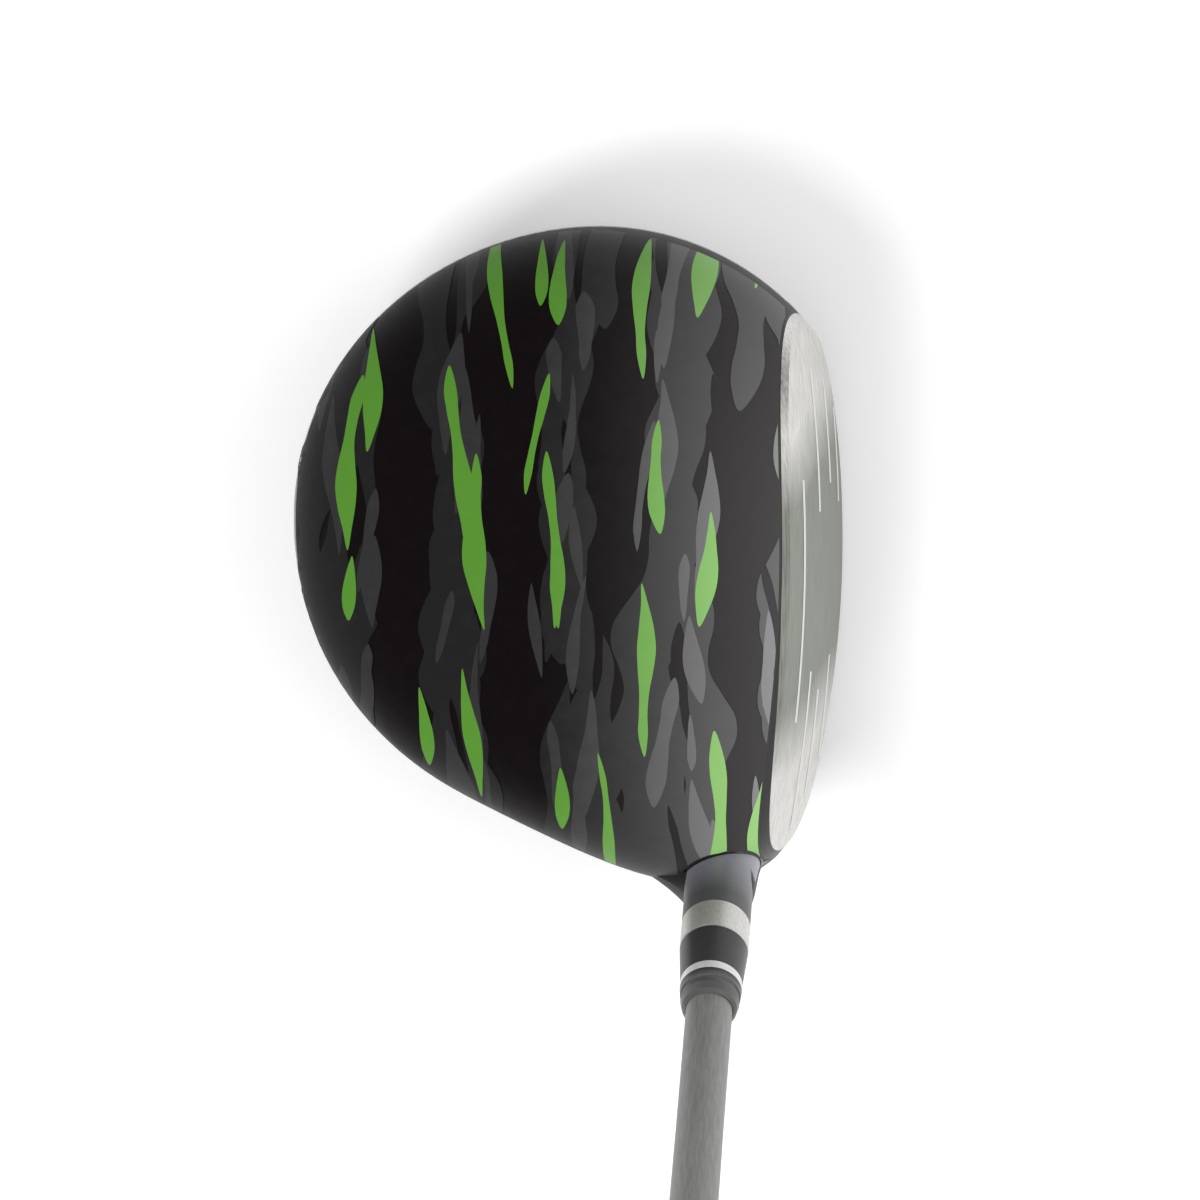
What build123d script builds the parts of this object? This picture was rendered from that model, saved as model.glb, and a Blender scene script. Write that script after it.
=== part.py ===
"""Golf driver for a left-handed player: hollow head, adapter sleeve, shaft and grip.

Frame: +X is the target direction, +Y points to the toe, +Z is up.
The origin lies on the flat rest pad of the sole.
"""
import os
from build123d import *
from math import cos, pi, radians, sin, sqrt

os.makedirs("parts", exist_ok=True)

# Head, plan view
BACK_REACH = 57.7
WIDE_Y = 8.0
TOE_REACH = 55.6
HEEL_REACH = 57.2
FRONT_REACH = 53.0
HEEL_STRAIGHT_X = -26.0
HEEL_SLOPE = -0.507
HEEL_HOLLOW = 0.0024
HEEL_TURN_X = 6.0
HEEL_END_X = 20.0
HEEL_FRONT_BEND = 0.0015

# Head, side view
EQUATOR_Z = 28.5
EQUATOR_SLOPE = -0.0733
CROWN_APEX_X = 8.0
CROWN_TOP = 60.5
CROWN_BACK_POWER = 1.7
CROWN_FRONT_BEND = 0.0108
SOLE_APEX_X = 12.0
SOLE_LOW = -0.5
SOLE_BACK_POWER = 2.3
SOLE_FRONT_BEND = 0.006
CROWN_SECTION_POWER = 2.2
HEEL_FULLNESS = 0.7
TOE_FULLNESS = 0.6
HEEL_ROUNDING = 0.6
SOLE_SECTION_POWER = 2.6
HEEL_RISE = 10.0
SECTION_POINTS = 28
SECTION_ANGLES = (4, 12, 22, 34, 46, 58, 70, 82)
FRONT_SECTIONS = (4, 16, 26, 35, 43, 50)

# Walls and seams
WALL = 1.0
FACE_THICK = 3.2
WRAP_THICK = 0.12
SEAM_RISE = 2.0
WRAP_RISE = 3.0
WRAP_FACE_GAP = 1.3

# Face: loft, bulge and roll
LOFT = 10.5
FACE_RADIUS = 305.0
FACE_X = 42.0
FACE_Y = 1.0
FACE_Z = 30.0
GROOVE_WIDE = 0.8
GROOVE_DEEP = 0.25
GROOVES = (
    (41.5, 16.5, -29.0),
    (29.6, 37.0, 10.0),
    (19.2, 35.0, 15.0),
    (11.0, 29.0, 11.0),
    (33.5, -20.0, -50.0),
    (26.0, -24.0, -44.5),
    (17.5, -18.0, -37.5),
)

# Shaft line, measured along the axis from the ground
LIE = 58.0
AXIS_X = 24.5
AXIS_Y = -27.0
HOSEL_R = 6.35
HOSEL_TOP = 72.0
NECK_FLARE = 1.0
BORE_R = 5.38
SEAT_LOW = 25.6
SEAT_HIGH = 28.6
SEAT_HOLE_R = 2.75
PORT_R = 5.0
PORT_END = 18.0
HEAD_POCKET_R = 4.8

SLEEVE_R = 5.35
SLEEVE_LOW = 33.6
SLEEVE_NECK_R = 4.6
SLEEVE_NECK_TOP = 40.0
COLLAR_LONG = 7.4
COLLAR_TOP = HOSEL_TOP + COLLAR_LONG
TIP_BORE_R = 4.3
TIP_STOP = 45.0
THREAD_R = 2.5

SCREW_R = 2.45
SCREW_TIP = 41.5
SCREW_HEAD_R = 4.3
SCREW_HEAD_LOW = 19.6
WASHER_THICK = 1.2
WASHER_R = 4.7
RETAINER_R = 3.8
SOCKET_ACROSS = 4.4
SOCKET_DEEP = 3.0

SHAFT_TIP_R = 4.25
SHAFT_TIP_END = 130.0
SHAFT_BUTT_R = 7.6
SHAFT_BUTT_START = 1000.0
SHAFT_END = 1139.0
TIP_WALL = 1.5
BUTT_WALL = 0.9
PLUG_LONG = 14.0

FERRULE_LOW_R = 6.3
FERRULE_RING_R = 5.7
FERRULE_LONG = 9.6
RING_LONG = 1.8
FERRULE_BAND = 1.7
FERRULE_SHOULDER = 1.65
FERRULE_END_R = 4.5
FERRULE_TAPER = 2.4
RING_INNER_R = 4.9

GRIP_START = 873.0
GRIP_MOUTH_R = 8.7
GRIP_MID_R = 11.0
GRIP_MID = 1020.0
GRIP_BUTT_R = 13.2
TAPE_THICK = 0.2
CAP_R = 14.2
CAP_LONG = 4.0
VENT_R = 1.3

# Sole weights
PORT_OUTER_R = 9.5
PORT_CUP_R = 8.0
PORT_FLOOR = 6.0
PORT_FLOOR_THICK = 1.6
BOSS_R = 4.0
BOSS_LONG = 8.0
WEIGHT_R = 7.92
WEIGHT_SINK = 0.6
WEIGHT_SCREW_R = 1.95
WEIGHT_SCREW_HEAD_R = 3.4
WEIGHT_SCREW_HEAD_DEEP = 2.6
WEIGHT_SCREW_TIP = 14.0
WEIGHT_THREAD_R = 2.0
WEIGHT_SOCKET = 3.4
REAR_WEIGHT_AT = (-43.0, 8.0)
TOE_WEIGHT_AT = (6.0, 46.0)

# Pieces inside and under the head
RIB_X = -12.0
RIB_LONG = 50.0
RIB_THICK = 1.2
RIB_Y = (-14.0, 8.0, 28.0)
HOT_MELT_AT = (-6.0, -3.0)
HOT_MELT_R = 8.0
BADGE_AT = (-22.0, 8.0)
BADGE_R = 8.0
BADGE_PROUD = 0.4

BIG = 400.0


def toe_edge(x):
    """Toe-side edge of the widest line at a distance x along the target line."""
    reach = BACK_REACH if x < 0 else FRONT_REACH
    return WIDE_Y + TOE_REACH * sqrt(max(1 - (x / reach) ** 2, 0))


def heel_edge(x):
    """Heel-side edge: an ellipse at the back, a long flat run, then a turn round the hosel."""
    if x < HEEL_STRAIGHT_X:
        return WIDE_Y - HEEL_REACH * sqrt(max(1 - (x / BACK_REACH) ** 2, 0))
    start = WIDE_Y - HEEL_REACH * sqrt(1 - (HEEL_STRAIGHT_X / BACK_REACH) ** 2)
    run = min(x, HEEL_TURN_X) - HEEL_STRAIGHT_X
    flat = start + HEEL_SLOPE * run + HEEL_HOLLOW * run**2
    slope = HEEL_SLOPE + 2 * HEEL_HOLLOW * run
    if x < HEEL_TURN_X:
        return flat
    turn = HEEL_END_X - HEEL_TURN_X
    past = min(x, HEEL_END_X) - HEEL_TURN_X
    end = flat + slope * past - slope / (2 * turn) * past**2
    return end + HEEL_FRONT_BEND * max(x - HEEL_END_X, 0) ** 3


def equator(x):
    return EQUATOR_Z + EQUATOR_SLOPE * x


def crown_line(x):
    """Height of the crown on the section's middle line."""
    if x > CROWN_APEX_X:
        return CROWN_TOP - CROWN_FRONT_BEND * (x - CROWN_APEX_X) ** 2
    u = (CROWN_APEX_X - x) / (CROWN_APEX_X + BACK_REACH)
    return equator(x) + (CROWN_TOP - equator(x)) * (1 - u**CROWN_BACK_POWER) ** (1 / CROWN_BACK_POWER)


def sole_line(x):
    """Height of the sole on the section's middle line."""
    if x > SOLE_APEX_X:
        return SOLE_LOW + SOLE_FRONT_BEND * (x - SOLE_APEX_X) ** 2
    u = (SOLE_APEX_X - x) / (SOLE_APEX_X + BACK_REACH)
    return equator(x) - (equator(x) - SOLE_LOW) * (1 - u**SOLE_BACK_POWER) ** (1 / SOLE_BACK_POWER)


def heel_lift(x, across):
    """The widest line climbs toward the hosel and dips a little at the toe."""
    share = min(1.0, (x + BACK_REACH) / (BACK_REACH + 10)) * (0.35 + 0.65 * fade(x))
    return HEEL_RISE * share * across**2 * (1.0 if across < 0 else -0.3)


def fade(x):
    """1 up to the hosel, falling to 0 at the face."""
    return min(1.0, max(0.0, (FACE_X - x) / (FACE_X - AXIS_X)))


def crown_power(x, side):
    """The crown is fuller near the hosel and at the toe end of the face."""
    share = min(1.0, max(0.0, (x + HEEL_REACH / 2) / HEEL_REACH))
    if side < 0:
        return CROWN_SECTION_POWER + HEEL_FULLNESS * share * fade(x)
    return CROWN_SECTION_POWER + TOE_FULLNESS * share


def sole_power(x, side):
    """The sole is rounder on the heel side in front."""
    share = min(1.0, max(0.0, (x + HEEL_REACH / 2) / HEEL_REACH))
    return SOLE_SECTION_POWER - (HEEL_ROUNDING * share if side < 0 else 0)


def section(x):
    """Points of one heel-to-toe section of the head, as (y, z)."""
    toe, heel = toe_edge(x), heel_edge(x)
    middle, half = (toe + heel) / 2, (toe - heel) / 2
    points = []
    for index in range(SECTION_POINTS):
        angle = 2 * pi * index / SECTION_POINTS
        upper = sin(angle) >= 0
        power = crown_power(x, cos(angle)) if upper else sole_power(x, cos(angle))
        across = abs(cos(angle)) ** (2 / power) * (1 if cos(angle) >= 0 else -1)
        up = abs(sin(angle)) ** (2 / power)
        lift = heel_lift(x, across)
        if upper:
            z = equator(x) + lift + (crown_line(x) - equator(x)) * up
        else:
            z = equator(x) + lift * (1 - up) - (equator(x) - sole_line(x)) * up
        points.append((middle + half * across, z))
    return points


def sole_height(x, y):
    """Height of the outer sole surface above the ground at (x, y)."""
    toe, heel = toe_edge(x), heel_edge(x)
    across = (2 * y - toe - heel) / (toe - heel)
    power = sole_power(x, across)
    up = (1 - abs(across) ** power) ** (1 / power)
    return equator(x) + heel_lift(x, across) * (1 - up) - (equator(x) - sole_line(x)) * up


def head_form(inset):
    """Solid head shape, drawn in by the given wall distance, open-ended toward the face."""
    shrink_x = 1 - inset / BACK_REACH
    shrink_y = 1 - inset / TOE_REACH
    shrink_z = 1 - inset / (CROWN_TOP / 2)
    stations = [-BACK_REACH * cos(radians(a)) for a in SECTION_ANGLES] + list(FRONT_SECTIONS)
    with BuildPart() as form:
        for x in stations:
            ring = [
                (WIDE_Y + (y - WIDE_Y) * shrink_y, EQUATOR_Z + (z - EQUATOR_Z) * shrink_z)
                for y, z in section(x)
            ]
            with BuildSketch(Plane.YZ.offset(x * shrink_x)):
                with BuildLine():
                    Spline(*ring, periodic=True)
                make_face()
        loft()
    return form.part


def face_ball(depth):
    """Ball whose surface is the hitting face, drawn in by a depth."""
    with BuildPart() as ball:
        with Locations(
            (
                FACE_X - FACE_RADIUS * cos(radians(LOFT)),
                FACE_Y,
                FACE_Z - FACE_RADIUS * sin(radians(LOFT)),
            )
        ):
            Sphere(FACE_RADIUS - depth)
    return ball.part


def above_seam(rise):
    """Everything over the sloping plane of the crown seam."""
    with BuildPart() as block:
        with BuildSketch(Plane.XZ.offset(-BIG / 2)):
            with BuildLine():
                low, high = -BIG / 2, BIG / 2
                Polyline(
                    (low, equator(low) + rise),
                    (high, equator(high) + rise),
                    (high, BIG),
                    (low, BIG),
                    close=True,
                )
            make_face()
        extrude(amount=BIG)
    return block.part


def cylinder_on(plane, radius, low, high):
    with BuildPart() as rod:
        with BuildSketch(plane.offset(low)):
            Circle(radius)
        extrude(amount=high - low)
    return rod.part


SHAFT_DIR = (0, -cos(radians(LIE)), sin(radians(LIE)))
AXIS_PLANE = Plane(origin=(AXIS_X, AXIS_Y, 0), x_dir=(1, 0, 0), z_dir=SHAFT_DIR)
PROFILE_PLANE = Plane(
    origin=(AXIS_X, AXIS_Y, 0), x_dir=(1, 0, 0), z_dir=(0, -sin(radians(LIE)), -cos(radians(LIE)))
)
SHAFT_AXIS = Axis((AXIS_X, AXIS_Y, 0), SHAFT_DIR)


def turned(*profile):
    """Solid of revolution about the shaft line from (radius, distance) corners."""
    with BuildPart() as solid:
        with BuildSketch(PROFILE_PLANE):
            with BuildLine():
                Polyline(*profile, close=True)
            make_face()
        revolve(axis=SHAFT_AXIS)
    return solid.part


def save(solid, name):
    solid.label = name
    export_step(solid, f"parts/{name}.step")


def shaft_r(s):
    """Outer radius of the tapered shaft at a distance along its axis."""
    if s < SHAFT_TIP_END:
        return SHAFT_TIP_R
    share = min(1.0, (s - SHAFT_TIP_END) / (SHAFT_BUTT_START - SHAFT_TIP_END))
    return SHAFT_TIP_R + (SHAFT_BUTT_R - SHAFT_TIP_R) * share


def weight_plane(x, y):
    """Plane on the sole at (x, y) whose normal points into the head."""
    step = 0.5
    slope_x = (sole_height(x + step, y) - sole_height(x - step, y)) / (2 * step)
    slope_y = (sole_height(x, y + step) - sole_height(x, y - step)) / (2 * step)
    return Plane(origin=(x, y, sole_height(x, y)), z_dir=(-slope_x, -slope_y, 1))


def weight_port(plane):
    """Machined cup with a threaded boss, flush with the sole."""
    with BuildPart() as port:
        with BuildSketch(plane.offset(-6)):
            Circle(PORT_OUTER_R)
        extrude(amount=6 + PORT_FLOOR + PORT_FLOOR_THICK)
        with BuildSketch(plane.offset(PORT_FLOOR + PORT_FLOOR_THICK)):
            Circle(BOSS_R)
        extrude(amount=BOSS_LONG)
        with BuildSketch(plane.offset(-6)):
            Circle(PORT_CUP_R)
        extrude(amount=6 + PORT_FLOOR, mode=Mode.SUBTRACT)
        with BuildSketch(plane.offset(PORT_FLOOR)):
            Circle(WEIGHT_THREAD_R)
        extrude(amount=PORT_FLOOR_THICK + BOSS_LONG - 1, mode=Mode.SUBTRACT)
        add(outer_form, mode=Mode.INTERSECT)
    return port.part


def weight_slug(plane):
    """Round weight with a counterbore for its screw."""
    counterbore = WEIGHT_SCREW_HEAD_R + 0.3
    floor = WEIGHT_SINK + WEIGHT_SCREW_HEAD_DEEP + 0.4
    with BuildPart() as slug:
        with BuildSketch(plane.offset(WEIGHT_SINK)):
            Circle(WEIGHT_R)
        extrude(amount=PORT_FLOOR - WEIGHT_SINK)
        outer_rim = slug.edges().filter_by(GeomType.CIRCLE)
        chamfer(outer_rim, 0.35)
        with BuildSketch(plane.offset(WEIGHT_SINK)):
            Circle(counterbore)
        extrude(amount=floor - WEIGHT_SINK, mode=Mode.SUBTRACT)
        with BuildSketch(plane.offset(WEIGHT_SINK)):
            Circle(WEIGHT_SCREW_R + 0.35)
        extrude(amount=PORT_FLOOR, mode=Mode.SUBTRACT)
    return slug.part


def weight_screw(plane):
    """Socket-head screw that holds a weight in its cup."""
    head_low = WEIGHT_SINK + 0.4
    with BuildPart() as screw:
        with BuildSketch(plane.offset(head_low)):
            Circle(WEIGHT_SCREW_HEAD_R)
        extrude(amount=WEIGHT_SCREW_HEAD_DEEP)
        with BuildSketch(plane.offset(head_low + WEIGHT_SCREW_HEAD_DEEP)):
            Circle(WEIGHT_SCREW_R)
        extrude(amount=WEIGHT_SCREW_TIP - head_low - WEIGHT_SCREW_HEAD_DEEP)
        with BuildSketch(plane.offset(head_low)):
            RegularPolygon(WEIGHT_SOCKET / 2, 6)
        extrude(amount=WEIGHT_SCREW_HEAD_DEEP - 0.8, mode=Mode.SUBTRACT)
    return screw.part


# Head shell
outer_form = head_form(0)
inner_form = head_form(WALL)
rib_form = head_form(WALL + 3.0)
face_front = face_ball(0)
face_back = face_ball(FACE_THICK)
crown_zone = above_seam(SEAM_RISE)

# Hosel tube: one bore from the sole port to the collar seat, with a screw seat in it
NECK = (
    (HOSEL_R, 36),
    (HOSEL_R + NECK_FLARE, 52),
    (HOSEL_R + NECK_FLARE * 0.45, 57),
    (HOSEL_R + NECK_FLARE * 0.12, 61),
    (HOSEL_R, 65),
    (HOSEL_R, HOSEL_TOP),
)
neck_solid = turned((0, 36), *NECK, (0, HOSEL_TOP))
root_solid = cylinder_on(AXIS_PLANE, HOSEL_R, -10, 38)

with BuildPart() as hosel_tube:
    add(root_solid)
    add(outer_form, mode=Mode.INTERSECT)
    add(neck_solid)
    add(cylinder_on(AXIS_PLANE, PORT_R, -10, PORT_END), mode=Mode.SUBTRACT)
    add(cylinder_on(AXIS_PLANE, HEAD_POCKET_R, PORT_END, SEAT_LOW), mode=Mode.SUBTRACT)
    add(cylinder_on(AXIS_PLANE, SEAT_HOLE_R, SEAT_LOW, SEAT_HIGH), mode=Mode.SUBTRACT)
    add(cylinder_on(AXIS_PLANE, BORE_R, SEAT_HIGH, HOSEL_TOP + 1), mode=Mode.SUBTRACT)
save(hosel_tube.part, "hosel_tube")

rear_plane = weight_plane(*REAR_WEIGHT_AT)
toe_plane = weight_plane(*TOE_WEIGHT_AT)

with BuildPart() as wall:
    add(outer_form)
    add(inner_form, mode=Mode.SUBTRACT)
    add(face_back, mode=Mode.INTERSECT)
    add(root_solid, mode=Mode.SUBTRACT)
    add(neck_solid, mode=Mode.SUBTRACT)

with BuildPart() as crown_shell:
    add(wall.part)
    add(crown_zone, mode=Mode.INTERSECT)
save(crown_shell.part, "crown_shell")

with BuildPart() as ribs:
    for y in RIB_Y:
        with Locations((RIB_X, y, 0)):
            Box(RIB_LONG, RIB_THICK, 30)
    add(inner_form, mode=Mode.INTERSECT)
    add(rib_form, mode=Mode.SUBTRACT)

with BuildPart() as sole_shell:
    add(wall.part)
    add(crown_zone, mode=Mode.SUBTRACT)
    add(ribs.part)
    for plane in (rear_plane, toe_plane):
        add(cylinder_on(plane, PORT_OUTER_R, -8, 12), mode=Mode.SUBTRACT)
    with Locations((0, 0, -BIG / 2)):
        Box(BIG, BIG, BIG, mode=Mode.SUBTRACT)
save(sole_shell.part, "sole_shell")

with BuildPart() as groove_tool:
    for z, toe_end, heel_end in GROOVES:
        with Locations((FACE_X, (toe_end + heel_end) / 2, z)):
            Box(30, toe_end - heel_end, GROOVE_WIDE)
    add(face_ball(GROOVE_DEEP), mode=Mode.SUBTRACT)

with BuildPart() as face_plate:
    add(outer_form)
    add(face_front, mode=Mode.INTERSECT)
    add(face_back, mode=Mode.SUBTRACT)
    add(groove_tool.part, mode=Mode.SUBTRACT)
    add(root_solid, mode=Mode.SUBTRACT)
    add(neck_solid, mode=Mode.SUBTRACT)
save(face_plate.part, "face_plate")

with BuildPart() as crown_wrap:
    add(head_form(-WRAP_THICK))
    add(outer_form, mode=Mode.SUBTRACT)
    add(above_seam(WRAP_RISE), mode=Mode.INTERSECT)
    add(face_ball(WRAP_FACE_GAP), mode=Mode.INTERSECT)
    add(cylinder_on(AXIS_PLANE, HOSEL_R + NECK_FLARE, 30, 90), mode=Mode.SUBTRACT)
save(crown_wrap.part, "crown_wrap")

with BuildPart() as hot_melt_pad:
    with BuildSketch(Plane.XY.offset(-2)):
        with Locations(HOT_MELT_AT):
            Circle(HOT_MELT_R)
    extrude(amount=22)
    add(inner_form, mode=Mode.INTERSECT)
    add(rib_form, mode=Mode.SUBTRACT)
save(hot_melt_pad.part, "hot_melt_pad")

with BuildPart() as sole_badge:
    with BuildSketch(Plane.XY.offset(-6)):
        with Locations(BADGE_AT):
            RegularPolygon(BADGE_R, 6)
            RegularPolygon(BADGE_R * 0.45, 6, mode=Mode.SUBTRACT)
    extrude(amount=22)
    add(head_form(-BADGE_PROUD), mode=Mode.INTERSECT)
    add(outer_form, mode=Mode.SUBTRACT)
save(sole_badge.part, "sole_badge")

for name, plane in (("rear", rear_plane), ("toe", toe_plane)):
    save(weight_port(plane), f"{name}_weight_port")
    save(weight_slug(plane), f"{name}_weight")
    save(weight_screw(plane), f"{name}_weight_screw")

# Screw that pulls the sleeve down into the hosel
HEAD_HIGH = SEAT_LOW - WASHER_THICK
with BuildPart() as hosel_screw:
    add(cylinder_on(AXIS_PLANE, SCREW_HEAD_R, SCREW_HEAD_LOW, HEAD_HIGH))
    add(cylinder_on(AXIS_PLANE, SCREW_R, HEAD_HIGH, SCREW_TIP))
    with BuildSketch(AXIS_PLANE.offset(SCREW_HEAD_LOW)):
        RegularPolygon(SOCKET_ACROSS / 2, 6)
    extrude(amount=SOCKET_DEEP, mode=Mode.SUBTRACT)
save(hosel_screw.part, "hosel_screw")

with BuildPart() as hosel_washer:
    add(cylinder_on(AXIS_PLANE, WASHER_R, HEAD_HIGH, SEAT_LOW))
    add(cylinder_on(AXIS_PLANE, SEAT_HOLE_R, HEAD_HIGH - 1, SEAT_LOW + 1), mode=Mode.SUBTRACT)
save(hosel_washer.part, "hosel_washer")

with BuildPart() as screw_retainer:
    add(cylinder_on(AXIS_PLANE, RETAINER_R, SEAT_HIGH, SEAT_HIGH + WASHER_THICK))
    add(cylinder_on(AXIS_PLANE, SEAT_HOLE_R, SEAT_HIGH - 1, SEAT_HIGH + 2), mode=Mode.SUBTRACT)
save(screw_retainer.part, "screw_retainer")

# Adapter sleeve with its collar
adapter_sleeve = turned(
    (THREAD_R, SLEEVE_LOW),
    (SLEEVE_NECK_R, SLEEVE_LOW),
    (SLEEVE_NECK_R, SLEEVE_NECK_TOP),
    (SLEEVE_R, SLEEVE_NECK_TOP + 0.7),
    (SLEEVE_R, HOSEL_TOP),
    (HOSEL_R - 0.2, HOSEL_TOP),
    (HOSEL_R, HOSEL_TOP + 0.2),
    (HOSEL_R, COLLAR_TOP - 0.25),
    (HOSEL_R - 0.25, COLLAR_TOP),
    (TIP_BORE_R, COLLAR_TOP),
    (TIP_BORE_R, TIP_STOP),
    (THREAD_R, TIP_STOP),
)
save(adapter_sleeve, "adapter_sleeve")

RING_LOW = COLLAR_TOP + FERRULE_LONG
RING_HIGH = RING_LOW + RING_LONG
BAND_TOP = RING_HIGH + FERRULE_BAND
SHOULDER_TOP = BAND_TOP + FERRULE_SHOULDER
FERRULE_TOP = SHOULDER_TOP + FERRULE_TAPER

ferrule = turned(
    (SHAFT_TIP_R, COLLAR_TOP),
    (FERRULE_LOW_R - 0.15, COLLAR_TOP),
    (FERRULE_LOW_R, COLLAR_TOP + 0.3),
    (FERRULE_RING_R, RING_LOW),
    (RING_INNER_R, RING_LOW),
    (RING_INNER_R, RING_HIGH),
    (FERRULE_RING_R - 0.05, RING_HIGH),
    (FERRULE_RING_R - 0.15, BAND_TOP),
    (FERRULE_RING_R - 0.45, BAND_TOP + 0.25),
    (FERRULE_RING_R - 0.45, SHOULDER_TOP - 0.5),
    (FERRULE_RING_R - 0.3, SHOULDER_TOP),
    (FERRULE_END_R + 0.55, FERRULE_TOP - 0.6),
    (FERRULE_END_R, FERRULE_TOP),
    (SHAFT_TIP_R, FERRULE_TOP),
)
save(ferrule, "ferrule")

ferrule_ring = turned(
    (RING_INNER_R, RING_LOW),
    (FERRULE_RING_R, RING_LOW),
    (FERRULE_RING_R, RING_HIGH),
    (RING_INNER_R, RING_HIGH),
)
save(ferrule_ring, "ferrule_ring")

# Shaft, grip and the pieces between them
shaft = turned(
    (SHAFT_TIP_R - TIP_WALL, TIP_STOP),
    (SHAFT_TIP_R, TIP_STOP),
    (SHAFT_TIP_R, SHAFT_TIP_END),
    (SHAFT_BUTT_R, SHAFT_BUTT_START),
    (SHAFT_BUTT_R, SHAFT_END),
    (SHAFT_BUTT_R - BUTT_WALL, SHAFT_END),
    (SHAFT_BUTT_R - BUTT_WALL, SHAFT_BUTT_START),
    (SHAFT_TIP_R - TIP_WALL, SHAFT_TIP_END),
)
save(shaft, "shaft")

save(cylinder_on(AXIS_PLANE, SHAFT_TIP_R - TIP_WALL, TIP_STOP, TIP_STOP + PLUG_LONG), "tip_plug")

grip_tape = turned(
    (shaft_r(GRIP_START + 2), GRIP_START + 2),
    (shaft_r(GRIP_START + 2) + TAPE_THICK, GRIP_START + 2),
    (SHAFT_BUTT_R + TAPE_THICK, SHAFT_BUTT_START),
    (SHAFT_BUTT_R + TAPE_THICK, SHAFT_END),
    (SHAFT_BUTT_R, SHAFT_END),
    (SHAFT_BUTT_R, SHAFT_BUTT_START),
)
save(grip_tape, "grip_tape")

grip = turned(
    (shaft_r(GRIP_START), GRIP_START),
    (GRIP_MOUTH_R - 0.5, GRIP_START),
    (GRIP_MOUTH_R, GRIP_START + 0.6),
    (GRIP_MOUTH_R, GRIP_START + 5),
    (GRIP_MID_R, GRIP_MID),
    (GRIP_BUTT_R, SHAFT_END),
    (SHAFT_BUTT_R + TAPE_THICK, SHAFT_END),
    (SHAFT_BUTT_R + TAPE_THICK, SHAFT_BUTT_START),
    (shaft_r(GRIP_START + 2) + TAPE_THICK, GRIP_START + 2),
    (shaft_r(GRIP_START + 2), GRIP_START + 2),
)
save(grip, "grip")

grip_cap = turned(
    (VENT_R, SHAFT_END),
    (CAP_R - 0.3, SHAFT_END),
    (CAP_R, SHAFT_END + 0.8),
    (CAP_R, SHAFT_END + CAP_LONG - 1.6),
    (CAP_R - 1.2, SHAFT_END + CAP_LONG - 0.3),
    (CAP_R - 2.5, SHAFT_END + CAP_LONG),
    (VENT_R, SHAFT_END + CAP_LONG),
)
save(grip_cap, "grip_cap")
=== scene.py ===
from math import cos, pi, radians, sin, sqrt
from random import Random

import bpy
from mathutils import Matrix, Vector
from mathutils.bvhtree import BVHTree
from mathutils.geometry import delaunay_2d_cdt


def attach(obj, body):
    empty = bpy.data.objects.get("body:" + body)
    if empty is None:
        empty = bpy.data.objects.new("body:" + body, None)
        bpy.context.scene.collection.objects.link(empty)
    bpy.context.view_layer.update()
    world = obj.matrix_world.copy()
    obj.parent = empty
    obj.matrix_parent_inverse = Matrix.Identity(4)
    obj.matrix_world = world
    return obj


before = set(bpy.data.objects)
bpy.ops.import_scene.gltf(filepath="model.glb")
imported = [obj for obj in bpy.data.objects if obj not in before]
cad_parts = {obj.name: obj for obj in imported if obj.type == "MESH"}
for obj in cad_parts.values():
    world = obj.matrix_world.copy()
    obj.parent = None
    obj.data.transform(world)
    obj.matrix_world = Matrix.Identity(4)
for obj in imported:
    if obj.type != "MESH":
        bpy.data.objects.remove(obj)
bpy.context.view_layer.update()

MM = 0.001

# Sizes in millimetres, as in the CAD: the ball of the face, and the shaft line from the ground up
FACE_BALL_R = 305.0
FACE_AT = Vector((42.0, 1.0, 30.0))
FACE_LOFT = radians(10.5)
BALL_CENTRE = FACE_AT - FACE_BALL_R * Vector((cos(FACE_LOFT), 0, sin(FACE_LOFT)))
LIE = radians(58)
AXIS_FOOT = Vector((24.5, -27.0, 0))
AXIS_UP = Vector((0, -cos(LIE), sin(LIE)))

# Bare metal of the face: how far it reaches back over the edge, and where it ends at the toe
BARE_EDGE_HEEL = 0.15
BARE_EDGE_TOE = 1.15
BARE_TOE_Y = 50.6

# Crown film: painted light, shaded toward the back of the head and lit toward the face between these places, by a
# curve, with a faint waver
FILM_PAINTED_SHADE_X = -12
FILM_PAINTED_LIGHT_X = 38
FILM_CURVE = 1.8
FILM_WAVER = 0.04
FILM_IOR = 1.2


# ---------------------------------------------------------------- materials
def shader(name):
    """New node material; returns it with its node tree and its Principled shader."""
    material = bpy.data.materials.new(name)
    material.use_nodes = True
    tree = material.node_tree
    return material, tree, tree.nodes["Principled BSDF"]


def position(tree, stretch=(1, 1, 1)):
    """Object position in millimetres, optionally stretched to draw a grain out."""
    coords = tree.nodes.new("ShaderNodeTexCoord")
    mapping = tree.nodes.new("ShaderNodeMapping")
    mapping.inputs["Scale"].default_value = [1000 * s for s in stretch]
    tree.links.new(coords.outputs["Object"], mapping.inputs["Vector"])
    return mapping.outputs["Vector"]


def noise(tree, vector, scale, detail=3.0):
    """Even noise over a position in millimetres."""
    node = tree.nodes.new("ShaderNodeTexNoise")
    node.inputs["Scale"].default_value = scale
    node.inputs["Detail"].default_value = detail
    tree.links.new(vector, node.inputs["Vector"])
    return node.outputs["Fac"]


def spread(tree, value, low, high, from_low=0.3, from_high=0.7):
    """Map a value onto a range, by default from the middle range of a noise."""
    node = tree.nodes.new("ShaderNodeMapRange")
    node.inputs["From Min"].default_value = from_low
    node.inputs["From Max"].default_value = from_high
    node.inputs["To Min"].default_value = low
    node.inputs["To Max"].default_value = high
    tree.links.new(value, node.inputs["Value"])
    return node.outputs["Result"]


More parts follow.
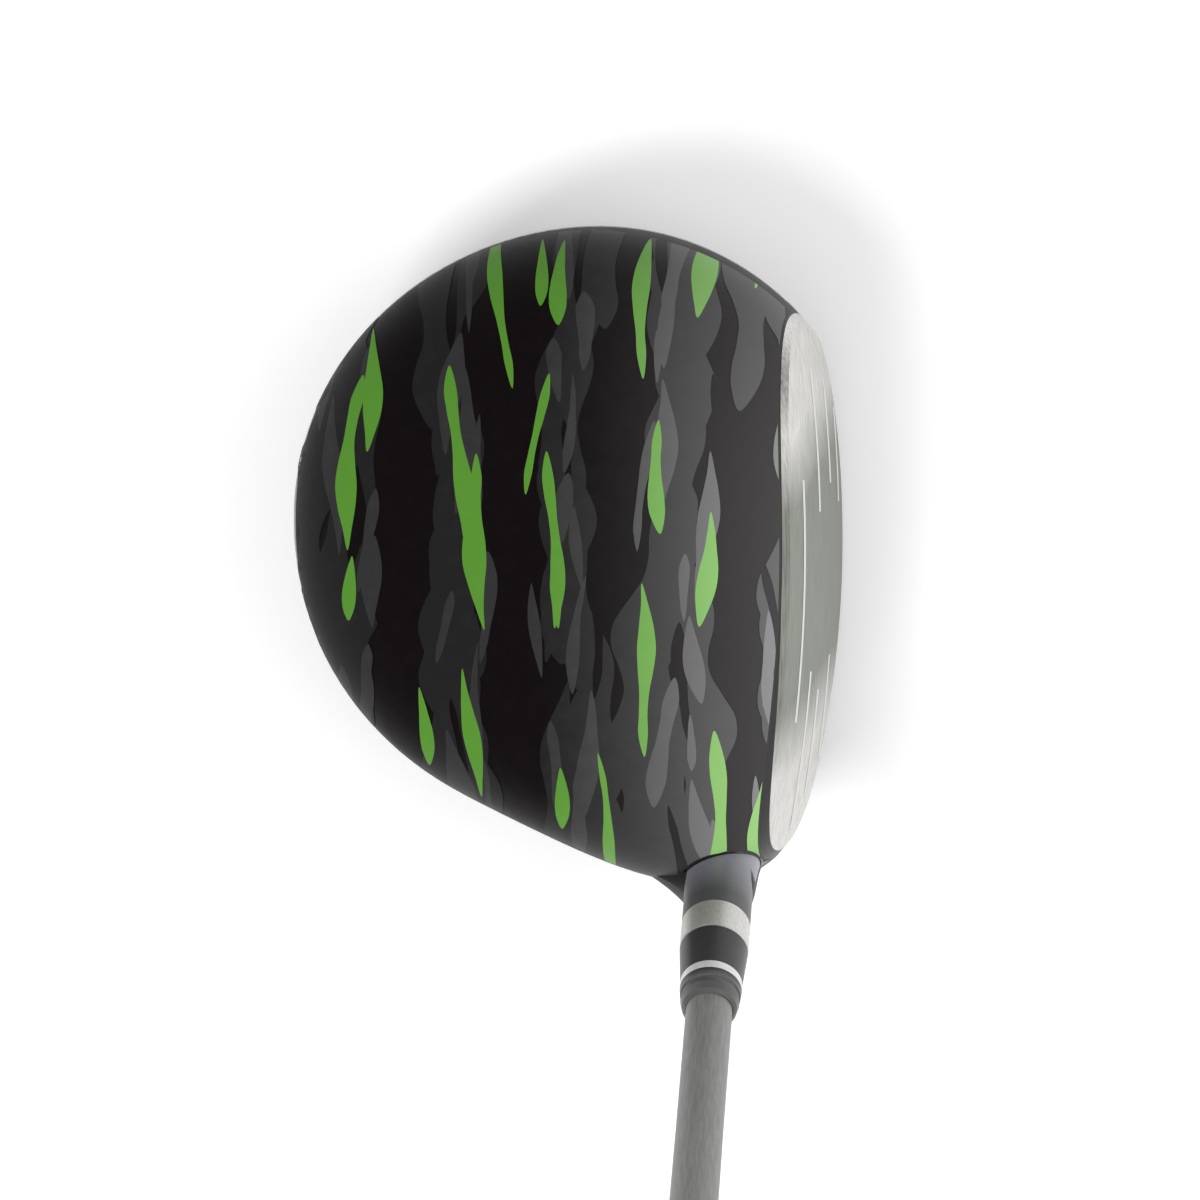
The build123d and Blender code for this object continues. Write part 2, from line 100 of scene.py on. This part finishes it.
def blend(tree, factor, first, second):
    """Mix of two colours that are sockets or plain triples."""
    node = tree.nodes.new("ShaderNodeMix")
    node.data_type = "RGBA"
    for key, value in (("A", first), ("B", second)):
        if isinstance(value, tuple):
            node.inputs[key].default_value = (*value, 1)
        else:
            tree.links.new(value, node.inputs[key])
    tree.links.new(factor, node.inputs["Factor"])
    return node.outputs["Result"]


def axis_value(tree, where, axis):
    """One coordinate of a position."""
    node = tree.nodes.new("ShaderNodeSeparateXYZ")
    tree.links.new(where, node.inputs["Vector"])
    return node.outputs[axis]


def maths(tree, operation, *values):
    """Math node over sockets or plain numbers."""
    node = tree.nodes.new("ShaderNodeMath")
    node.operation = operation
    for index, value in enumerate(values):
        if isinstance(value, (int, float)):
            node.inputs[index].default_value = value
        else:
            tree.links.new(value, node.inputs[index])
    return node.outputs["Value"]


def vector_maths(tree, operation, where, fixed):
    """Distance or dot product of a position with a fixed vector."""
    node = tree.nodes.new("ShaderNodeVectorMath")
    node.operation = operation
    tree.links.new(where, node.inputs[0])
    node.inputs[1].default_value = fixed
    return node.outputs["Value"]


def bump(tree, bsdf, height, depth_mm):
    """Relief of the given depth in millimetres."""
    node = tree.nodes.new("ShaderNodeBump")
    node.inputs["Strength"].default_value = 1.0
    node.inputs["Distance"].default_value = depth_mm * MM
    tree.links.new(height, node.inputs["Height"])
    tree.links.new(node.outputs["Normal"], bsdf.inputs["Normal"])


def finish(name, dark, light, rough, metallic=0.0, grain=(1, 1, 1), scale=1.0, depth=0.01, coat=0.0):
    """Surface whose colour, roughness and relief vary with a fine noise."""
    material, tree, bsdf = shader(name)
    where = position(tree, grain)
    fine = noise(tree, where, scale)
    tree.links.new(blend(tree, spread(tree, fine, 0, 1), dark, light), bsdf.inputs["Base Color"])
    tree.links.new(spread(tree, fine, rough[0], rough[1]), bsdf.inputs["Roughness"])
    bsdf.inputs["Metallic"].default_value = metallic
    bsdf.inputs["Coat Weight"].default_value = coat
    bsdf.inputs["Coat Roughness"].default_value = 0.12
    bump(tree, bsdf, fine, depth)
    return material


def vinyl_with_painted_light(name, back, front):
    """Satin printed film with painted light: a shaded colour at the back of the head, lightening to a lit colour
    toward the face.
    """
    material, tree, bsdf = shader(name)
    where = position(tree)
    grain = noise(tree, where, 0.35)
    along = spread(tree, axis_value(tree, where, "X"), 0, 1, FILM_PAINTED_SHADE_X, FILM_PAINTED_LIGHT_X)
    curved = maths(tree, "POWER", along, FILM_CURVE)
    painted_light_share = maths(tree, "MULTIPLY_ADD", grain, 2 * FILM_WAVER, maths(tree, "SUBTRACT", curved, FILM_WAVER))
    # Painted light: the colour runs from the shaded back colour to the lit front colour
    tree.links.new(blend(tree, painted_light_share, back, front), bsdf.inputs["Base Color"])
    tree.links.new(spread(tree, grain, 0.42, 0.48), bsdf.inputs["Roughness"])
    bsdf.inputs["IOR"].default_value = FILM_IOR
    bump(tree, bsdf, grain, 0.004)
    return material


def bare_face(name):
    """Brushed face, darker across its middle, with a black painted edge round it."""
    material, tree, bsdf = shader(name)
    where = position(tree)
    brushed = noise(tree, position(tree, (1, 0.06, 1.6)), 2.2, 4)
    cloud = noise(tree, where, 0.05)
    across = axis_value(tree, where, "Y")
    lean = maths(tree, "MULTIPLY_ADD", axis_value(tree, where, "Z"), 0.28, across)
    wander = maths(tree, "MULTIPLY_ADD", cloud, 9, lean)
    heel_side = spread(tree, wander, 0, 1, -21, -8)
    toe_side = spread(tree, wander, 1, 0, 30, 42)
    middle = maths(tree, "MULTIPLY", heel_side, toe_side)
    light = blend(tree, spread(tree, brushed, 0, 1), (0.50, 0.49, 0.47), (0.80, 0.79, 0.76))
    dark = blend(tree, spread(tree, brushed, 0, 1), (0.15, 0.16, 0.14), (0.30, 0.31, 0.27))
    metal = blend(tree, middle, light, dark)
    painted = spread(tree, across, FACE_BALL_R - BARE_EDGE_HEEL, FACE_BALL_R - BARE_EDGE_TOE, -48, -6)
    on_face = maths(tree, "GREATER_THAN", vector_maths(tree, "DISTANCE", where, BALL_CENTRE), painted)
    bare = maths(tree, "MULTIPLY", on_face, maths(tree, "LESS_THAN", across, BARE_TOE_Y))
    tree.links.new(blend(tree, bare, (0.008, 0.008, 0.009), metal), bsdf.inputs["Base Color"])
    tree.links.new(bare, bsdf.inputs["Metallic"])
    tree.links.new(spread(tree, brushed, 0.34, 0.48), bsdf.inputs["Roughness"])
    bump(tree, bsdf, brushed, 0.006)
    return material


def banded(name, lower, upper, start, end, rough):
    """Turned part whose colour changes along the shaft line, start and end in mm from the ground; used here to
    paint sheen and highlights.
    """
    material, tree, bsdf = shader(name)
    where = position(tree)
    start_at = start + AXIS_FOOT.dot(AXIS_UP)
    along = vector_maths(tree, "DOT_PRODUCT", where, AXIS_UP)
    share = spread(tree, along, 0, 1, start_at, start_at + end - start)
    speck = noise(tree, where, 3.0)
    colour = blend(tree, share, lower, upper)
    speckled = blend(tree, spread(tree, speck, 0, 0.12), colour, (0.2, 0.2, 0.2))
    tree.links.new(speckled, bsdf.inputs["Base Color"])
    tree.links.new(spread(tree, speck, rough[0], rough[1]), bsdf.inputs["Roughness"])
    bump(tree, bsdf, speck, 0.003)
    return material


body_black = finish("body_black", (0.004, 0.004, 0.0045), (0.007, 0.007, 0.008), (0.18, 0.26), scale=0.6,
                    depth=0.003, coat=0.4)
# Black neck paint with a painted sheen: light grey 54 mm up the shaft line, fading to dark grey by 69 mm
neck_black_painted_sheen = banded("neck_black_painted_sheen", (0.42, 0.425, 0.48), (0.09, 0.09, 0.094), 54, 69, (0.42, 0.5))
collar_brushed = finish("collar_brushed", (0.55, 0.54, 0.52), (0.80, 0.79, 0.76), (0.4, 0.5), 0.7,
                        grain=(6, 0.5, 0.5), scale=2.0, depth=0.004)
ring_silver = finish("ring_silver", (0.80, 0.79, 0.78), (0.90, 0.89, 0.88), (0.3, 0.4), 0.2, depth=0.002)
# Black ferrule with a painted highlight: lightening from 91.2 to 92.2 mm up the shaft line, over its upper end
ferrule_black_painted_highlight = banded("ferrule_black_painted_highlight", (0.02, 0.02, 0.021), (0.10, 0.10, 0.098), 91.2, 92.2, (0.34, 0.42))
shaft_grey = finish("shaft_grey", (0.23, 0.23, 0.226), (0.32, 0.32, 0.312), (0.45, 0.55), 0.2,
                    grain=(1, 0.12, 0.12), scale=2.0, depth=0.003)
bare_metal = finish("bare_metal", (0.42, 0.43, 0.44), (0.6, 0.61, 0.62), (0.28, 0.42), 1.0,
                    grain=(3, 0.4, 0.4), scale=1.5, depth=0.008)
steel = finish("steel", (0.22, 0.22, 0.23), (0.34, 0.34, 0.35), (0.25, 0.4), 1.0, scale=2.5, depth=0.01)
rubber = finish("grip_rubber", (0.010, 0.010, 0.010), (0.022, 0.022, 0.021), (0.62, 0.8), scale=1.6,
                depth=0.25)
paper_tape = finish("paper_tape", (0.5, 0.42, 0.26), (0.62, 0.54, 0.36), (0.7, 0.85), scale=1.2, depth=0.05)
glue = finish("clear_amber", (0.42, 0.28, 0.1), (0.56, 0.4, 0.16), (0.25, 0.45), scale=0.5, depth=0.15)
badge_green = finish("badge_green", (0.10, 0.27, 0.04), (0.14, 0.36, 0.06), (0.25, 0.35), 0.6, scale=2.0)
score_white = finish("score_white", (0.78, 0.78, 0.76), (0.88, 0.88, 0.86), (0.45, 0.6), scale=2.0)
face_brushed = bare_face("face_brushed")
# Black film with painted light: shaded near black at the back, painted lighter toward the face
wrap_black_painted_light = vinyl_with_painted_light("wrap_black_painted_light", (0.0062, 0.0042, 0.0046), (0.07, 0.066, 0.068))


def cad_material(node, material):
    """Give every material slot of a CAD piece the same material."""
    obj = bpy.data.objects[node]
    for index in range(max(1, len(obj.material_slots))):
        if index < len(obj.material_slots):
            obj.material_slots[index].material = material
        else:
            obj.data.materials.append(material)


NODE_MATERIALS = {
    "sole_shell": body_black, "crown_shell": body_black, "hosel_tube": neck_black_painted_sheen, "crown_wrap": wrap_black_painted_light,
    "face_plate": face_brushed, "hot_melt_pad": glue, "sole_badge": badge_green,
    "rear_weight_port": body_black, "toe_weight_port": body_black, "rear_weight": bare_metal,
    "toe_weight": bare_metal, "rear_weight_screw": steel, "toe_weight_screw": steel, "hosel_screw": steel,
    "hosel_washer": bare_metal, "screw_retainer": glue, "adapter_sleeve": collar_brushed,
    "ferrule": ferrule_black_painted_highlight, "ferrule_ring": ring_silver, "shaft": shaft_grey, "tip_plug": glue,
    "grip_tape": paper_tape, "grip": rubber, "grip_cap": rubber,
}
for node, material in NODE_MATERIALS.items():
    cad_material(node, material)


# ---------------------------------------------------------------- crown shape
BACK_REACH = 57.7
WIDE_Y = 8.0
TOE_REACH = 55.6
HEEL_REACH = 57.2
FRONT_REACH = 53.0
HEEL_STRAIGHT_X = -26
HEEL_SLOPE = -0.507
HEEL_HOLLOW = 0.0024
HEEL_TURN_X = 6
HEEL_END_X = 20
HEEL_FRONT_BEND = 0.0015
EQUATOR_Z = 28.5
EQUATOR_SLOPE = -0.0733
CROWN_APEX_X = 8
CROWN_TOP = 60.5
CROWN_BACK_POWER = 1.7
CROWN_FRONT_BEND = 0.0108
CROWN_SECTION_POWER = 2.2
HEEL_FULLNESS = 0.7
TOE_FULLNESS = 0.6
HEEL_RISE = 10
FADE_LENGTH = 17.5
WRAP_HOLE_R = 7.5


def toe_edge(x):
    """Outermost y of the head on its toe side."""
    reach = BACK_REACH if x < 0 else FRONT_REACH
    return WIDE_Y + TOE_REACH * sqrt(max(1 - (x / reach) ** 2, 0))


def heel_edge(x):
    """Outermost y of the head on its heel side."""
    if x < HEEL_STRAIGHT_X:
        return WIDE_Y - HEEL_REACH * sqrt(max(1 - (x / BACK_REACH) ** 2, 0))
    start = WIDE_Y - HEEL_REACH * sqrt(1 - (HEEL_STRAIGHT_X / BACK_REACH) ** 2)
    run = min(x, HEEL_TURN_X) - HEEL_STRAIGHT_X
    flat = start + HEEL_SLOPE * run + HEEL_HOLLOW * run**2
    slope = HEEL_SLOPE + 2 * HEEL_HOLLOW * run
    turn = HEEL_END_X - HEEL_TURN_X
    past = min(max(x - HEEL_TURN_X, 0), turn)
    return flat + slope * (past - past**2 / (2 * turn)) + HEEL_FRONT_BEND * max(x - HEEL_END_X, 0) ** 3


def crown_height(x, y):
    """Height of the crown over (x, y)."""
    toe, heel = toe_edge(x), heel_edge(x)
    across = max(-0.9999, min(0.9999, (2 * y - toe - heel) / (toe - heel)))
    fade = min(1, max(0, (FACE_AT.x - x) / FADE_LENGTH))
    share = min(1, max(0, (x + HEEL_REACH / 2) / HEEL_REACH))
    fuller = HEEL_FULLNESS * share * fade if across < 0 else TOE_FULLNESS * share
    power = CROWN_SECTION_POWER + fuller
    lift = HEEL_RISE * min(1, (x + BACK_REACH) / (BACK_REACH + 10)) * (0.35 + 0.65 * fade) * across**2
    rim = EQUATOR_Z + EQUATOR_SLOPE * x
    if x > CROWN_APEX_X:
        top = CROWN_TOP - CROWN_FRONT_BEND * (x - CROWN_APEX_X) ** 2
    else:
        back = (CROWN_APEX_X - x) / (CROWN_APEX_X + BACK_REACH)
        top = rim + (CROWN_TOP - rim) * (1 - back**CROWN_BACK_POWER) ** (1 / CROWN_BACK_POWER)
    up = (1 - abs(across) ** power) ** (1 / power)
    return rim + (lift if across < 0 else -0.3 * lift) + (top - rim) * up


def crown_normal(x, y):
    """Outward direction of the crown at (x, y)."""
    step = 0.4
    slope_x = (crown_height(x + step, y) - crown_height(x - step, y)) / (2 * step)
    slope_y = (crown_height(x, y + step) - crown_height(x, y - step)) / (2 * step)
    return Vector((-slope_x, -slope_y, 1)).normalized()


# ---------------------------------------------------------------- crown print
# Camouflage of this script's own design: tapered, wavering strokes along evenly spaced bands, drawn at
# random from a fixed seed. Sizes in millimetres seen from above, x toward the face and y toward the toe.
PRINT_SEED = 5
BAND_ROWS = range(-46, 40, 21)
PRINT_TOE_Y = 60
PRINT_HEEL_Y = -56
STRIPE_STEP = 4.0
STRIPE_LEAN = 0.12
STRIPE_SWAY = 1.1
STRIPE_WAVE = 8.0
STRIPE_SWELL = 0.35
# Colour, passes over every band, reach off its middle, then stroke lengths, widths and gaps between strokes
PRINT_LAYERS = (
    ("print_green", 2, 8, (12, 34), (1.8, 3.6), (8, 28)),
    ("print_mid", 3, 6, (10, 30), (1.6, 4.0), (6, 20)),
    (None, 1, 6, (14, 36), (1.4, 2.8), (10, 30)),
    ("print_dark", 3, 3, (45, 100), (6, 11), (1, 6)),
)


def smooth_loop(corners, step=0.5):
    """Closed curve through the corners, as evenly spaced points."""
    points = []
    count = len(corners)
    for i in range(count):
        a, b, c, d = (Vector(corners[(i + k - 1) % count]) for k in range(4))
        pieces = max(2, min(24, round((c - b).length / step)))
        for k in range(pieces):
            t = k / pieces
            points.append(0.5 * (2 * b + (c - a) * t + (2 * a - 5 * b + 4 * c - d) * t**2
                                 + (3 * b - a - 3 * c + d) * t**3))
    return points


def stripe(draw, x, y, length, width):
    """Outline of one stroke that starts at (x, y) and runs toward the heel."""
    steps = max(6, round(length / STRIPE_STEP))
    lean = draw.uniform(-STRIPE_LEAN, STRIPE_LEAN)
    sway, swell = draw.uniform(0, 2 * pi), draw.uniform(0, 2 * pi)
    left, right = [], []
    for k in range(steps + 1):
        run = length * k / steps
        middle = x + lean * run + STRIPE_SWAY * sin(sway + run / STRIPE_WAVE)
        taper = max(0, sin(pi * k / steps)) ** 0.5
        half = width / 2 * taper * (1 + STRIPE_SWELL * sin(swell + 2.3 * run / STRIPE_WAVE))
        left.append((middle - half, y - run))
        right.append((middle + half, y - run))
    return smooth_loop(left + right[-2:0:-1])


def stripe_rows(draw, reach, lengths, widths, gaps):
    """Strokes one after another along every band, each off its middle by up to reach."""
    loops = []
    for band in BAND_ROWS:
        y = PRINT_TOE_Y + draw.uniform(0, lengths[1])
        while y > PRINT_HEEL_Y:
            length = draw.uniform(*lengths)
            loops.append(stripe(draw, band + draw.uniform(-reach, reach), y, length, draw.uniform(*widths)))
            y -= length + draw.uniform(*gaps)
    return loops


def inside(point, loop):
    """Whether a point lies within a closed outline."""
    x, y = point
    hit = False
    for a, b in zip(loop, loop[1:] + loop[:1]):
        if (a[1] > y) != (b[1] > y) and x < a[0] + (b[0] - a[0]) * (y - a[1]) / (b[1] - a[1]):
            hit = not hit
    return hit


def print_edge():
    """Outline of the printed area: just inside the crown's rim and behind the face."""
    def front_x(y):
        low, high = 20.0, 44.0
        for _ in range(30):
            mid = (low + high) / 2
            point = Vector((mid, y, crown_height(mid, y)))
            low, high = (mid, high) if (point - BALL_CENTRE).length < FACE_BALL_R - 1.6 else (low, mid)
        return low

    def rim(x, side):
        toe, heel = toe_edge(x), heel_edge(x)
        margin = 0.987 if side < 0 or x < 0 else 0.987 - 0.006 * min(1, x / 12)
        return (toe + heel) / 2 + side * margin * (toe - heel) / 2

    loop = [Vector((-56.9 * cos(radians(a)), rim(-56.9 * cos(radians(a)), 1))) for a in range(4, 91, 3)]
    x = 1.5
    while rim(x, 1) > 42 and x < front_x(rim(x, 1)):
        loop.append(Vector((x, rim(x, 1))))
        x += 1.2
    y = rim(x, 1) - 0.6
    while y > -60 and y > rim(front_x(y), -1):
        loop.append(Vector((front_x(y), y)))
        y -= 1.2
    x = front_x(y) - 0.6
    while x > 0:
        loop.append(Vector((x, rim(x, -1))))
        x -= 1.2
    loop += [Vector((-56.9 * cos(radians(a)), rim(-56.9 * cos(radians(a)), -1))) for a in range(89, 3, -3)]
    return loop


def hosel_gap():
    """Where the film is cut round the hosel neck, seen from above."""
    side = AXIS_UP.cross(Vector((1, 0, 0)))
    loop = []
    for k in range(72):
        angle = 2 * pi * k / 72
        spoke = AXIS_FOOT + WRAP_HOLE_R * (cos(angle) * Vector((1, 0, 0)) + sin(angle) * side)
        low, high = 20.0, 90.0
        for _ in range(30):
            mid = (low + high) / 2
            point = spoke + mid * AXIS_UP
            low, high = (low, mid) if point.z > crown_height(point.x, point.y) else (mid, high)
        loop.append((spoke + low * AXIS_UP).to_2d())
    return loop


def crown_print():
    """The camouflage colours as one thin mesh lying on the crown film."""
    domain, gap = print_edge(), hosel_gap()
    draw = Random(PRINT_SEED)
    layers = [(name, [loop for _ in range(passes) for loop in stripe_rows(draw, *sizes)])
              for name, passes, *sizes in PRINT_LAYERS]
    points, edges = [], []
    for loop in [domain, gap] + [loop for _, loops in layers for loop in loops]:
        first = len(points)
        points += loop
        edges += [(first + k, first + (k + 1) % len(loop)) for k in range(len(loop))]
    pitch = 1.3
    for i in range(-46, 36):
        for j in range(-56, 60):
            spot = Vector((i * pitch + (j % 2) * pitch / 2, j * pitch * 0.866))
            if inside(spot, domain):
                points.append(spot)
    flat, _, faces, _, _, _ = delaunay_2d_cdt(points, edges, [], 0, 0.01)
    bounds = [(name, loop, min(p[0] for p in loop), max(p[0] for p in loop), min(p[1] for p in loop),
               max(p[1] for p in loop)) for name, loops in layers for loop in loops]
    names = ["print_green", "print_mid", "print_dark"]
    kept, slots = [], []
    for face in faces:
        centre = sum((flat[i] for i in face), Vector((0, 0))) / len(face)
        if not inside(centre, domain) or inside(centre, gap):
            continue
        for name, loop, low_x, high_x, low_y, high_y in bounds:
            if low_x < centre.x < high_x and low_y < centre.y < high_y and inside(centre, loop):
                if name:
                    kept.append(tuple(face))
                    slots.append(names.index(name))
                break
    film = bpy.data.objects["crown_wrap"].data
    tree = BVHTree.FromPolygons([v.co for v in film.vertices], [tuple(p.vertices) for p in film.polygons])
    used = sorted({i for face in kept for i in face})
    index = {old: new for new, old in enumerate(used)}
    places, normals = [], []
    for i in used:
        x, y = flat[i]
        hit = tree.ray_cast(Vector((x, y, 90)) * MM, Vector((0, 0, -1)))[0]
        normal = crown_normal(x, y)
        height = hit.z if hit else crown_height(x, y) * MM
        places.append(Vector((x * MM, y * MM, height)) + normal * PRINT_LIFT)
        normals.append(normal)
    mesh = bpy.data.meshes.new("crown_print")
    mesh.from_pydata(places, [], [tuple(index[i] for i in face) for face in kept])
    for name in names:
        mesh.materials.append(PRINT_MATERIALS[name])
    for polygon, slot in zip(mesh.polygons, slots):
        polygon.material_index = slot
        polygon.use_smooth = True
    mesh.normals_split_custom_set_from_vertices(normals)
    piece = bpy.data.objects.new("crown_print", mesh)
    bpy.context.collection.objects.link(piece)
    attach(piece, "head")


PRINT_LIFT = 0.0001
# Print colours, each as a shaded copy at the back and a lit copy toward the face: painted light
PRINT_MATERIALS = {
    "print_green": vinyl_with_painted_light("print_green", (0.105, 0.30, 0.036), (0.42, 0.76, 0.28)),
    "print_mid": vinyl_with_painted_light("print_mid", (0.036, 0.035, 0.036), (0.33, 0.33, 0.33)),
    "print_dark": vinyl_with_painted_light("print_dark", (0.0175, 0.017, 0.0175), (0.175, 0.175, 0.178)),
}
crown_print()


# ---------------------------------------------------------------- blend of head and neck
NECK_R = 6.4
BLEND_SPOKES = 96
BLEND_RINGS = 16


def heel_surface(x, rise):
    """Point on the heel's outside, rise mm up over the crown or down the skirt from its widest line."""
    edge = heel_edge(x)
    if rise < 0:
        return Vector((x, edge + 0.3 + 0.02 * rise**2, crown_height(x, edge) + rise))
    y = edge + 0.4 + rise**2 / 12
    return Vector((x, y, crown_height(x, y) - 0.3))


def neck_blend():
    """Filled corner where the film-covered head runs up into the neck."""
    near = Vector((0, AXIS_UP.z, -AXIS_UP.y))
    middle = heel_surface(AXIS_FOOT.x, 0)
    points, faces = [], []
    for k in range(BLEND_SPOKES):
        angle = 2 * pi * k / BLEND_SPOKES
        wide = abs(cos(angle))
        out = cos(angle) * Vector((1, 0, 0)) + sin(angle) * near
        rise = 56 + 7 * (wide**6 if sin(angle) > 0 else 1)
        top = AXIS_FOOT + rise * AXIS_UP + (NECK_R + 0.6 - 0.6 * wide**2) * out
        foot = heel_surface(AXIS_FOOT.x + (9.5 if cos(angle) > 0 else 25) * cos(angle),
                            (6 if sin(angle) > 0 else 9) * sin(angle))
        leave = (foot - middle).normalized() * (3 + 15 * wide)
        start = (3 + 9 * wide**2) * (0.3 * out - AXIS_UP)
        for ring in range(BLEND_RINGS + 1):
            t = ring / BLEND_RINGS
            points.append(((2 * t**3 - 3 * t**2 + 1) * top + (t**3 - 2 * t**2 + t) * start
                           + (3 * t**2 - 2 * t**3) * foot + (t**3 - t**2) * leave) * MM)
    rows = BLEND_RINGS + 1
    for k in range(BLEND_SPOKES):
        here, there = k * rows, (k + 1) % BLEND_SPOKES * rows
        faces += [(here + r, here + r + 1, there + r + 1, there + r) for r in range(BLEND_RINGS)]
    mesh = bpy.data.meshes.new("neck_blend")
    mesh.from_pydata(points, [], faces)
    mesh.materials.append(wrap_black_painted_light)
    for polygon in mesh.polygons:
        polygon.use_smooth = True
    blend_piece = bpy.data.objects.new("neck_blend", mesh)
    bpy.context.collection.objects.link(blend_piece)
    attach(blend_piece, "head")


neck_blend()


# ---------------------------------------------------------------- score lines
SCORE_TALL = 1.3
SCORE_LINES = (
    (41.5, 16.5, -29.0),
    (29.6, 37.0, 10.0),
    (19.2, 35.0, 15.0),
    (11.0, 29.0, 11.0),
    (33.5, -20.0, -50.0),
    (26.0, -24.0, -44.5),
    (17.5, -18.0, -37.5),
)


def score_paint():
    """White paint filling each groove of the face, as (height, toe end, heel end)."""
    points, faces = [], []
    pieces = 24
    for z, toe_end, heel_end in SCORE_LINES:
        first = len(points)
        for k in range(pieces + 1):
            y = toe_end + (heel_end - toe_end) * k / pieces
            for edge in (-0.5, 0.5):
                height = z + edge * SCORE_TALL
                level = (height - BALL_CENTRE.z) ** 2 + (y - BALL_CENTRE.y) ** 2
                points.append(Vector((BALL_CENTRE.x + sqrt((FACE_BALL_R + 0.03) ** 2 - level), y, height)) * MM)
        faces += [(first + 2 * k, first + 2 * k + 1, first + 2 * k + 3, first + 2 * k + 2) for k in range(pieces)]
    mesh = bpy.data.meshes.new("score_paint")
    mesh.from_pydata(points, [], faces)
    mesh.materials.append(score_white)
    paint = bpy.data.objects.new("score_paint", mesh)
    bpy.context.collection.objects.link(paint)
    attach(paint, "head")


score_paint()


# ---------------------------------------------------------------- floor, lights and camera
def stage_floor():
    size = 30.0
    mesh = bpy.data.meshes.new("floor")
    corners = [(-size, -size, 0), (size, -size, 0), (size, size, 0), (-size, size, 0)]
    mesh.from_pydata(corners, [], [(0, 1, 2, 3)])
    floor = bpy.data.objects.new("floor", mesh)
    bpy.context.collection.objects.link(floor)
    material, tree, bsdf = shader("floor_white")
    bsdf.inputs["Base Color"].default_value = (0.9, 0.9, 0.9, 1)
    bsdf.inputs["Roughness"].default_value = 0.9
    bsdf.inputs["Emission Color"].default_value = (1, 1, 1, 1)
    bsdf.inputs["Emission Strength"].default_value = FLOOR_GLOW
    mesh.materials.append(material)


def area_light(name, place, size, watts, glossy=True):
    """Soft square light that points at the middle of the head."""
    light = bpy.data.lights.new(name, "AREA")
    light.shape = "RECTANGLE"
    light.size, light.size_y = size
    light.energy = watts
    lamp = bpy.data.objects.new(name, light)
    bpy.context.collection.objects.link(lamp)
    lamp.location = place
    lamp.rotation_euler = (Vector(HEAD_MIDDLE) - Vector(place)).to_track_quat("-Z", "Y").to_euler()
    lamp.visible_glossy = glossy


FLOOR_GLOW = 0.3
HEAD_MIDDLE = (0.0, -0.007, 0.03)
stage_floor()
area_light("key", (-0.75, -0.8, 1.6), (0.6, 0.6), 19, glossy=False)
area_light("fill", (0.1, 0.1, 2.2), (2.4, 2.4), 17, glossy=False)
area_light("face_side", (1.05, -0.05, 0.75), (1.2, 1.7), 8)

world = bpy.data.worlds.new("studio")
bpy.context.scene.world = world
world.use_nodes = True
world.node_tree.nodes["Background"].inputs["Color"].default_value = (1, 1, 1, 1)
world.node_tree.nodes["Background"].inputs["Strength"].default_value = 0.12

TILT_TO_FACE = radians(4.18)
TILT_TO_TOE = radians(4.04)
ROLL = radians(0.31)
CAMERA_DISTANCE = 1.197
CAMERA_AIM = Vector((0.0004, -0.00716, 0.030))
toward = Vector((sin(TILT_TO_FACE), sin(TILT_TO_TOE), 0))
toward.z = sqrt(1 - toward.x**2 - toward.y**2)
right = Vector((-sin(ROLL), cos(ROLL), 0)).cross(toward).normalized()
above = toward.cross(right)
camera_data = bpy.data.cameras.new("camera")
camera_data.sensor_width = 36
camera_data.lens = 189.5
camera = bpy.data.objects.new("camera", camera_data)
bpy.context.collection.objects.link(camera)
turn = Matrix((right, above, toward)).transposed().to_4x4()
camera.matrix_world = Matrix.Translation(CAMERA_AIM + toward * CAMERA_DISTANCE) @ turn
bpy.context.scene.camera = camera
bpy.context.scene.view_settings.view_transform = "Standard"
